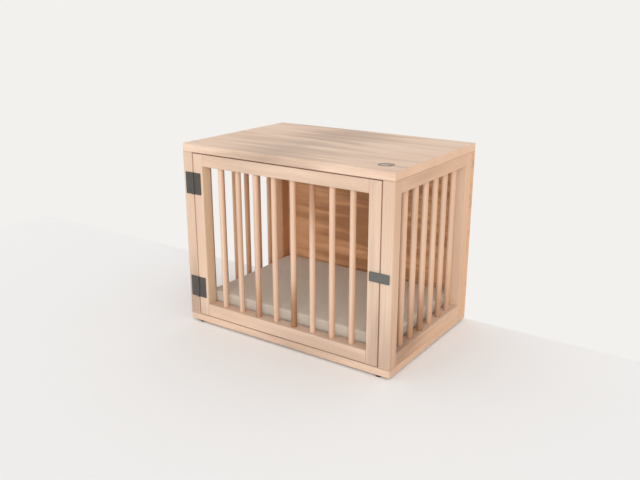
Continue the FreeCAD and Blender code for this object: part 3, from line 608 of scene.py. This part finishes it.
def ring_faces(rows, around, copies=1):
    """Faces of closed tubes of points[copy][row][column], with a fan over each end ring."""
    grid = np.arange(rows * around).reshape(rows, around)
    turned = np.roll(grid, -1, axis=1)
    quads = np.stack([grid[:-1], turned[:-1], turned[1:], grid[1:]], -1).reshape(-1, 4)
    starts = np.arange(copies)[:, None, None] * rows * around
    quads = (quads[None] + starts).reshape(-1, 4).tolist()
    first = (grid[0][::-1][None] + starts[:, 0]).tolist()
    last = (grid[-1][None] + starts[:, 0]).tolist()
    return quads + first + last


def placed_piece(obj, body, slot, *nodes):
    """Lets a new piece ride on its body and stand for CAD nodes; the slot is not used."""
    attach(obj, body)
    if nodes:
        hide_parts(*nodes)


# ---- Turned bars ------------------------------------------------------------
def turned_bars(name, centres, low_z, high_z, low_tone, high_tone):
    """Round bars: radius r at (c + r cos a, c + r sin a, z), less a chamfer at both ends.

    The attribute bar_tone fades each bar's lower tone out by a smooth step over the
    lower half, and its upper tone in over the upper half. The darker lower tone is partly the
    bar's own tone and partly painted shade at its foot.
    """
    looks = bpy.context.scene.kennel_bars
    heights = np.linspace(low_z + looks.chamfer, high_z - looks.chamfer, looks.along)
    heights = np.concatenate([[low_z], heights, [high_z]])
    radii = np.full(len(heights), looks.radius)
    radii[[0, -1]] -= looks.chamfer
    angles = np.arange(looks.around) * 2 * math.pi / looks.around
    points = np.zeros((len(centres), len(heights), looks.around, 3))
    points[..., 0] = centres[:, None, None, 0] + radii[:, None] * np.cos(angles)
    points[..., 1] = centres[:, None, None, 1] + radii[:, None] * np.sin(angles)
    points[..., 2] = heights[:, None]
    obj = new_object(name, points, ring_faces(len(heights), looks.around, len(centres)))
    share = (heights - low_z) / (high_z - low_z)
    down = np.clip(1 - share / LOW_TONE_END, 0, 1)
    up = np.clip((share - HIGH_TONE_START) / (1 - HIGH_TONE_START), 0, 1)
    down, up = (each * each * (3 - 2 * each) for each in (down, up))
    tone = np.outer(low_tone, down) + np.outer(high_tone, up)
    tone = np.repeat(tone[:, :, None], looks.around, axis=2)
    attribute = obj.data.attributes.new("bar_tone", "FLOAT", "POINT")
    attribute.data.foreach_set("value", tone.astype(np.float32).ravel())
    return obj


# ---- Screw heads ------------------------------------------------------------
def screw_heads(name, places, seed):
    """Countersunk heads that face -Y, with a cross recess.

    On a polar grid the face stands at its seat, less the recess depth where either
    crossed bar of the recess lies, less a small rounding at the rim; the rim then drops
    back along the countersink. The rings run from the back to the front, which turns the
    faces outwards.
    """
    looks = bpy.context.scene.kennel_metal
    shares = np.concatenate([np.linspace(0.03, 0.62, 14), np.linspace(0.68, 1.0, 7)])
    angles = np.arange(HEAD_AROUND) * 2 * math.pi / HEAD_AROUND
    radius = shares[:, None] * looks.screw_radius
    across = np.abs(radius * np.cos(angles))
    along = np.abs(radius * np.sin(angles))
    soft = looks.slot_width * 0.35

    def bar_of_cross(one, other):
        side = np.clip((looks.slot_width - one) / soft, 0, 1)
        end = np.clip((looks.slot_reach - other) / soft, 0, 1)
        return side * end

    recess = np.maximum(bar_of_cross(across, along), bar_of_cross(along, across))
    depth = recess * looks.slot_depth * (1 - 0.35 * radius / looks.slot_reach)
    depth = depth + 0.00012 * shares[:, None] ** 8
    random = np.random.default_rng(seed)
    shells = []
    for place, turn in zip(places, random.uniform(0, math.pi / 2, len(places))):
        x = radius * np.cos(angles + turn)
        z = radius * np.sin(angles + turn)
        front = np.stack([x, depth, z], -1)
        circle = np.stack([np.cos(angles + turn), np.zeros(HEAD_AROUND), np.sin(angles + turn)], -1)
        back = [circle * looks.screw_radius * share + (0, y, 0) for share, y in HEAD_RIM]
        shells.append(np.concatenate([front, np.array(back)])[::-1] + np.array(place))
    points = np.array(shells)
    faces = ring_faces(points.shape[1], HEAD_AROUND, len(points))
    return new_object(name, points, faces)


# ---- Floor pad --------------------------------------------------------------
def rounded_plan(half, radius):
    """Ring of a rounded rectangle: quarter circles joined by evenly divided straight sides."""
    turn = np.linspace(0, math.pi / 2, 12)[:, None]
    centres = np.array([(1, 1), (-1, 1), (-1, -1), (1, -1)]) * (half - radius)
    parts = []
    for quarter, (centre, count) in enumerate(zip(centres, PAD_SIDE_POINTS)):
        angle = turn + quarter * math.pi / 2
        arc = centre + radius * np.hstack([np.cos(angle), np.sin(angle)])
        angle = (quarter + 1) * math.pi / 2
        reach = np.array([math.cos(angle), math.sin(angle)]) * radius
        start, end = centre + reach, centres[(quarter + 1) % 4] + reach
        share = np.linspace(0, 1, count)[1:-1, None]
        parts += [arc, start + (end - start) * share]
    return np.concatenate(parts)


def pad_surface(low, high, looks):
    """Stuffed block between two corners, as rings of points from the bottom to the top.

    In plan a ring is a rounded rectangle whose sides bow inwards by a quarter of a cosine
    each way. The rings shrink along quarter turns into the bottom and the top edge, and
    the top then rises to its crown by a quarter of a sine wave.
    """
    centre = (low + high) / 2
    half = (high - low)[:2] / 2
    plan = rounded_plan(half, looks.corner)
    rel = plan / half
    on_side = np.clip((np.abs(rel) - 0.9) / 0.1, 0, 1)
    inward = -np.sign(plan) * on_side * np.cos(rel[:, ::-1] * math.pi / 2) * looks.bow
    quarter = np.linspace(0, math.pi / 2, 6)
    inset = looks.edge * (1 - np.cos(quarter))
    drop = looks.edge * (1 - np.sin(quarter))
    edge_top = high[2] - looks.crown
    reach = half[1] - looks.edge
    shares = np.linspace(0.94, 0.1, 8)
    stations = [(looks.edge + share * reach, low[2]) for share in shares]
    stations += list(zip(inset[::-1], low[2] + drop[::-1]))
    stations += list(zip(inset, edge_top - drop))
    stations += [(looks.edge + share * reach,
                  edge_top + looks.crown * math.sin(share * math.pi / 2))
                 for share in np.linspace(0.07, 0.94, 14)]
    rings = []
    for step, z in stations:
        flat = plan * (half - step) / half + inward * (1 - step / half[1])
        rings.append(np.column_stack([flat + centre[:2], np.full(len(plan), z)]))
    return np.array(rings)


def baked(obj):
    """Turns the evaluated modifiers into the object's own mesh."""
    graph = bpy.context.evaluated_depsgraph_get()
    mesh = bpy.data.meshes.new_from_object(obj.evaluated_get(graph))
    obj.modifiers.clear()
    obj.data = mesh


def vertices_of(obj):
    points = np.zeros(len(obj.data.vertices) * 3, np.float32)
    obj.data.vertices.foreach_get("co", points)
    return points.reshape(-1, 3).astype(float)


def set_vertices(obj, points):
    obj.data.vertices.foreach_set("co", points.astype(np.float32).ravel())
    obj.data.update()


def inflate(obj, looks, seam_z):
    """Voxel remesh, then a pressure cloth run whose seam is held and whose travel is capped."""
    remesh = obj.modifiers.new("even_points", "REMESH")
    remesh.mode = "VOXEL"
    remesh.voxel_size = looks.voxel
    baked(obj)
    start = vertices_of(obj)
    held = obj.vertex_groups.new(name="seam")
    near = np.abs(start[:, 2] - seam_z) < looks.voxel * 0.6
    side = np.abs(start[:, :2] - start[:, :2].mean(0)) / np.ptp(start[:, :2], axis=0) * 2
    near &= side.max(1) > 0.93
    held.add(np.flatnonzero(near).tolist(), 0.6, "REPLACE")
    cloth = obj.modifiers.new("stuffing", "CLOTH")
    settings = cloth.settings
    settings.quality = 6
    settings.mass = 0.3
    settings.tension_stiffness = 12.0
    settings.compression_stiffness = 12.0
    settings.shear_stiffness = 4.0
    settings.bending_stiffness = 0.4
    settings.use_pressure = True
    settings.uniform_pressure_force = 4.0
    settings.vertex_group_mass = "seam"
    settings.effector_weights.gravity = 0.0
    cloth.point_cache.frame_start = 1
    cloth.point_cache.frame_end = CLOTH_FRAMES
    scene = bpy.context.scene
    for number in range(1, CLOTH_FRAMES + 1):
        scene.frame_set(number)
    baked(obj)
    scene.frame_set(1)
    travel = vertices_of(obj) - start
    distance = np.linalg.norm(travel, axis=1, keepdims=True)
    travel *= np.minimum(1.0, looks.cap / np.maximum(distance, 1e-9))
    set_vertices(obj, start + travel)


def add_puckers(obj, low, high, seam_z):
    """Sewn seam round the upper edge, and the small folds that hang from it.

    The seam is a groove of bell-shaped section at one height. Below it the side goes in
    and out by a sum of five sines of the way round, which fades downwards.
    """
    points = vertices_of(obj)
    centre = (low + high) / 2
    half = (high - low) / 2
    rel = (points - centre) / half
    outward = np.where(np.abs(rel[:, :1]) > np.abs(rel[:, 1:2]),
                       np.column_stack([np.sign(rel[:, 0]), np.zeros(len(rel))]),
                       np.column_stack([np.zeros(len(rel)), np.sign(rel[:, 1])]))
    side = np.clip((np.abs(rel[:, :2]).max(1) - 0.90) / 0.06, 0, 1)
    around = np.where(outward[:, 0] != 0, points[:, 1], points[:, 0])
    random = np.random.default_rng(41)
    folds = np.zeros(len(points))
    for wave in FOLD_WAVES:
        folds += np.sin(around * 2 * math.pi / wave + random.uniform(0, 6.28))
    fade = np.exp(-np.abs(points[:, 2] - seam_z) / 0.022)
    groove = np.exp(-((points[:, 2] - seam_z) / 0.0022) ** 2)
    move = side * (folds * 0.00034 * fade - groove * 0.0011)
    points[:, :2] += outward * move[:, None]
    set_vertices(obj, points)


# ---- Operators --------------------------------------------------------------
def seed_offset(node, turn, seed):
    """Mapping offset that puts the node's middle a chosen way off its pith line."""
    low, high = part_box(node)
    rotation = Matrix.Rotation(turn[2], 3, "Z") @ Matrix.Rotation(turn[1], 3, "Y")
    middle = rotation @ ((low + high) / 2)
    random = np.random.default_rng(seed)
    shift = Vector((random.uniform(0, 40), random.uniform(-0.05, 0.05), random.uniform(0.05, 0.12)))
    return shift - middle


class KENNEL_OT_timber(bpy.types.Operator):
    """Finish the boards, posts, rails, stiles and pins"""
    bl_idname = "kennel.timber"
    bl_label = "Finish timber"

    def execute(self, context):
        for node, (turn, seed, tone, streaks, inside_shade, edge, heart) in TIMBER.items():
            material = timber_material("timber_" + node, turn, seed_offset(node, turn, seed), tone,
                                       streaks, inside_shade, edge, heart,
                                       side_shade_gain=SIDE_SHADE_GAIN.get(node, 1.0))
            dress(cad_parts[node], material)
        return {"FINISHED"}


class KENNEL_OT_bars(bpy.types.Operator):
    """Make the turned bars of the door and the sides"""
    bl_idname = "kennel.bars"
    bl_label = "Make bars"

    def execute(self, context):
        looks = context.scene.kennel_bars
        # Last column: share of the warm, darker painted shade that stands in for the shade inside
        # the crate.
        rows = [("door_bars", "door", 0, looks.door_count, 7, 0.05),
                ("side_bars_left", "carcass", 1, looks.side_count, 12, 0.50),
                ("side_bars_right", "carcass", 1, looks.side_count, 33, 0.10)]
        for node, body, axis, count, seed, inside_shade in rows:
            low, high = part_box(node)
            spread = np.linspace(low[axis] + looks.radius, high[axis] - looks.radius, count)
            fixed = np.full(count, (low[1 - axis] + high[1 - axis]) / 2)
            centres = np.column_stack([spread, fixed] if axis == 0 else [fixed, spread])
            random = np.random.default_rng(seed)
            # Side bars get a darker lower tone at random, partly their own tone and partly painted
            # shade at their feet.
            tones = random.uniform(0.35, 1.25, count), random.uniform(-0.1, 0.35, count)
            if axis == 0 and count == len(DOOR_BAR_LOW):
                tones = DOOR_BAR_LOW, DOOR_BAR_HIGH
            bars = turned_bars("turned_" + node, centres, low.z, high.z, *tones)
            material = timber_material("timber_" + node, ALONG_Z, (seed * 1.7, 0.02, 0.07), 0.98,
                                       0.30, inside_shade, 0.0, (0.0, 0.1, 0.0), "bar_tone")
            dress(bars, material)
            placed_piece(bars, body, "oak_bars", node)
        return {"FINISHED"}


class KENNEL_OT_metal(bpy.types.Operator):
    """Coat the hinges and the latch, and plate the screws"""
    bl_idname = "kennel.metal"
    bl_label = "Finish metal"

    def execute(self, context):
        looks = context.scene.kennel_metal
        finishes = {
            "hinge_coat": skin_material("hinge_coat", looks.hinge, 0.52, 1500.0, 0.25, edge=0.0005),
            "latch_coat": skin_material("latch_coat", looks.latch, 0.42, 1500.0, 0.2, edge=0.0005),
            "bright_plate": skin_material("bright_plate", looks.plate, 0.32, 900.0, 0.15,
                                          metallic=1.0, relief=0.08),
        }
        for node, finish in METAL.items():
            dress(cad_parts[node], finishes[finish])
        for node, body, seed in (("hinge_post_screws", "carcass", 5),
                                 ("hinge_door_screws", "door", 9)):
            low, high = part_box(node)
            heads = screw_heads("heads_" + node, self.places(node), seed)
            dress(heads, finishes["hinge_coat"])
            placed_piece(heads, body, "black_steel", node)
        return {"FINISHED"}

    @staticmethod
    def places(node):
        """Middles of the screw heads of a node: its vertices that lie on the leaves' faces."""
        points = vertices_of(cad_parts[node])
        front = points[np.abs(points[:, 1] - points[:, 1].min()) < 1e-5]
        places = []
        while len(front):
            near = np.linalg.norm(front - front[0], axis=1) < HEAD_SPREAD
            places.append((front[near].min(0) + front[near].max(0)) / 2)
            front = front[~near]
        return places


class KENNEL_OT_plastic(bpy.types.Operator):
    """Finish the grommet, the feet and the latch washer"""
    bl_idname = "kennel.plastic"
    bl_label = "Finish plastic"

    def execute(self, context):
        looks = context.scene.kennel_plastic
        finishes = {
            "foot_plastic": skin_material("foot_plastic", looks.foot, 0.6, 700.0, 0.3),
            "sleeve_plastic": skin_material("sleeve_plastic", looks.sleeve, 0.5, 1100.0, 0.15,
                                            edge=0.0004),
            "cap_plastic": skin_material("cap_plastic", looks.cap, 0.5, 1100.0, 0.15, edge=0.0004),
        }
        for node, finish in MOULDED.items():
            dress(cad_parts[node], finishes[finish])
        return {"FINISHED"}


class KENNEL_OT_pad(bpy.types.Operator):
    """Make the stuffed floor pad"""
    bl_idname = "kennel.pad"
    bl_label = "Make pad"

    def execute(self, context):
        looks = context.scene.kennel_pad
        low, high = (np.array(corner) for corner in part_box("floor_pad"))
        points = pad_surface(low + looks.inset, high - looks.inset, looks)
        pad = new_object("stuffed_pad", points, ring_faces(points.shape[0], points.shape[1]))
        seam_z = high[2] - looks.crown - looks.edge * 0.55
        inflate(pad, looks, seam_z)
        subdivide = pad.modifiers.new("fine", "SUBSURF")
        subdivide.levels = subdivide.render_levels = 1
        baked(pad)
        add_puckers(pad, low, high, seam_z)
        points = vertices_of(pad)
        lowest, highest = points.min(0), points.max(0)
        share = (points - lowest) / (highest - lowest)
        margin = np.array([looks.clear, looks.clear, 0.0])
        set_vertices(pad, low + margin + share * (high - low - 2 * margin))
        pad.data.polygons.foreach_set("use_smooth", np.full(len(pad.data.polygons), True))
        dress(pad, fabric_material("pad_cloth"))
        placed_piece(pad, "floor_pad", "greige_fabric", "floor_pad")
        return {"FINISHED"}


class KENNEL_OT_stage(bpy.types.Operator):
    """Set up the floor, walls, lamps and camera"""
    bl_idname = "kennel.stage"
    bl_label = "Set up stage"

    def execute(self, context):
        looks = context.scene.kennel_stage
        self.floor(looks)
        self.walls(looks)
        self.light(context, looks)
        self.camera(context, looks)
        return {"FINISHED"}

    @staticmethod
    def floor(looks):
        reach = looks.room
        corners = np.array([(-reach, -reach, 0), (reach, -reach, 0), (reach, reach, 0),
                            (-reach, reach, 0)], float)
        floor = new_object("floor", corners, [(0, 1, 2, 3)], smooth=False)
        material, tree = new_material("floor_paint")
        cloud = noise(tree, put(tree, "TexCoord").outputs["Object"], 0.9, 2.0)
        shade = blended(tree, maths(tree, "MULTIPLY", cloud, 0.12), opaque(looks.floor),
                        opaque(looks.floor, 0.93))
        shader = put(tree, "BsdfPrincipled", {"Base Color": shade, "Roughness": 0.85,
                                              "Specular IOR Level": 0.2})
        finished(tree, shader)
        dress(floor, material)

    @staticmethod
    def walls(looks):
        """Back and left wall, seen only from inside the room and by camera and gloss rays."""
        x, y, reach, height = -looks.left_wall, looks.back_wall, looks.room, WALL_HEIGHT
        corners = np.array([(x, y, 0), (reach, y, 0), (reach, y, height), (x, y, height),
                            (x, -reach, 0), (x, -reach, height)], float)
        walls = new_object("walls", corners, [(0, 1, 2, 3), (4, 0, 3, 5)], smooth=False)
        material, tree = new_material("wall_paint")
        ray = put(tree, "LightPath")
        seen = maths(tree, "MAXIMUM", ray.outputs["Is Camera Ray"], ray.outputs["Is Glossy Ray"])
        inside = maths(tree, "SUBTRACT", 1.0, put(tree, "NewGeometry").outputs["Backfacing"])
        paint = put(tree, "Emission", {"Color": opaque(looks.wall), "Strength": 1.0})
        shader = put(tree, "MixShader", {0: maths(tree, "MULTIPLY", seen, inside),
                                         1: put(tree, "BsdfTransparent").outputs[0],
                                         2: paint.outputs[0]})
        finished(tree, shader)
        dress(walls, material)

    @staticmethod
    def light(context, looks):
        world = bpy.data.worlds.new("studio")
        context.scene.world = world
        world.use_nodes = True
        tree = world.node_tree
        tree.nodes.clear()
        ray = put(tree, "LightPath")
        seen = maths(tree, "MAXIMUM", ray.outputs["Is Camera Ray"], ray.outputs["Is Glossy Ray"])
        seen = maths(tree, "MAXIMUM", seen, ray.outputs["Is Transmission Ray"])
        even = put(tree, "Background", {"Color": WORLD_COLOUR, "Strength": looks.world})
        shown = put(tree, "Background", {"Color": opaque(looks.wall), "Strength": 1.0})
        mixed = put(tree, "MixShader", {0: seen, 1: even.outputs[0], 2: shown.outputs[0]})
        output = put(tree, "OutputWorld")
        tree.links.new(mixed.outputs[0], output.inputs["Surface"])
        for name, place in LAMP_PLACES.items():
            lamp = bpy.data.lights.new(name, "SUN")
            lamp.energy = getattr(looks, name)
            lamp.angle = looks.spread
            lamp.color = LAMP_COLOUR
            holder = bpy.data.objects.new(name, lamp)
            context.scene.collection.objects.link(holder)
            holder.location = place
            holder.rotation_euler = (-holder.location).to_track_quat("-Z", "Y").to_euler()

    @staticmethod
    def camera(context, looks):
        data = bpy.data.cameras.new("camera")
        data.sensor_width = 36.0
        data.lens = looks.lens
        camera = bpy.data.objects.new("camera", data)
        context.scene.collection.objects.link(camera)
        forward = Vector(CAMERA_FORWARD).normalized()
        right = forward.cross(Vector(CAMERA_UP)).normalized()
        up = right.cross(forward)
        turn = Matrix((right, up, -forward)).transposed()
        camera.matrix_world = Matrix.Translation(CAMERA_PLACE) @ turn.to_4x4()
        context.scene.camera = camera
        context.scene.view_settings.view_transform = "Standard"


class KENNEL_PT_panel(bpy.types.Panel):
    """Lists the kennel's pieces and their settings"""
    bl_label = "Kennel table"
    bl_idname = "KENNEL_PT_panel"
    bl_space_type = "VIEW_3D"
    bl_region_type = "UI"
    bl_category = "Kennel"

    def draw(self, context):
        for group in GROUPS:
            settings = getattr(context.scene, group)
            box = self.layout.box()
            box.label(text=group.replace("_", " ").title())
            for key in settings.__annotations__:
                box.prop(settings, key)
        for operator in OPERATORS:
            self.layout.operator(operator.bl_idname)


OPERATORS = (KENNEL_OT_timber, KENNEL_OT_bars, KENNEL_OT_metal, KENNEL_OT_plastic, KENNEL_OT_pad,
             KENNEL_OT_stage)
CLASSES = tuple(GROUPS.values()) + OPERATORS + (KENNEL_PT_panel,)


def register():
    for each in CLASSES:
        bpy.utils.register_class(each)
    for name, group in GROUPS.items():
        setattr(bpy.types.Scene, name, PointerProperty(type=group))


def unregister():
    for name in GROUPS:
        delattr(bpy.types.Scene, name)
    for each in reversed(CLASSES):
        bpy.utils.unregister_class(each)


def main():
    register()
    bpy.ops.kennel.timber()
    bpy.ops.kennel.bars()
    bpy.ops.kennel.metal()
    bpy.ops.kennel.plastic()
    bpy.ops.kennel.pad()
    bpy.ops.kennel.stage()


if __name__ == "__main__":
    main()
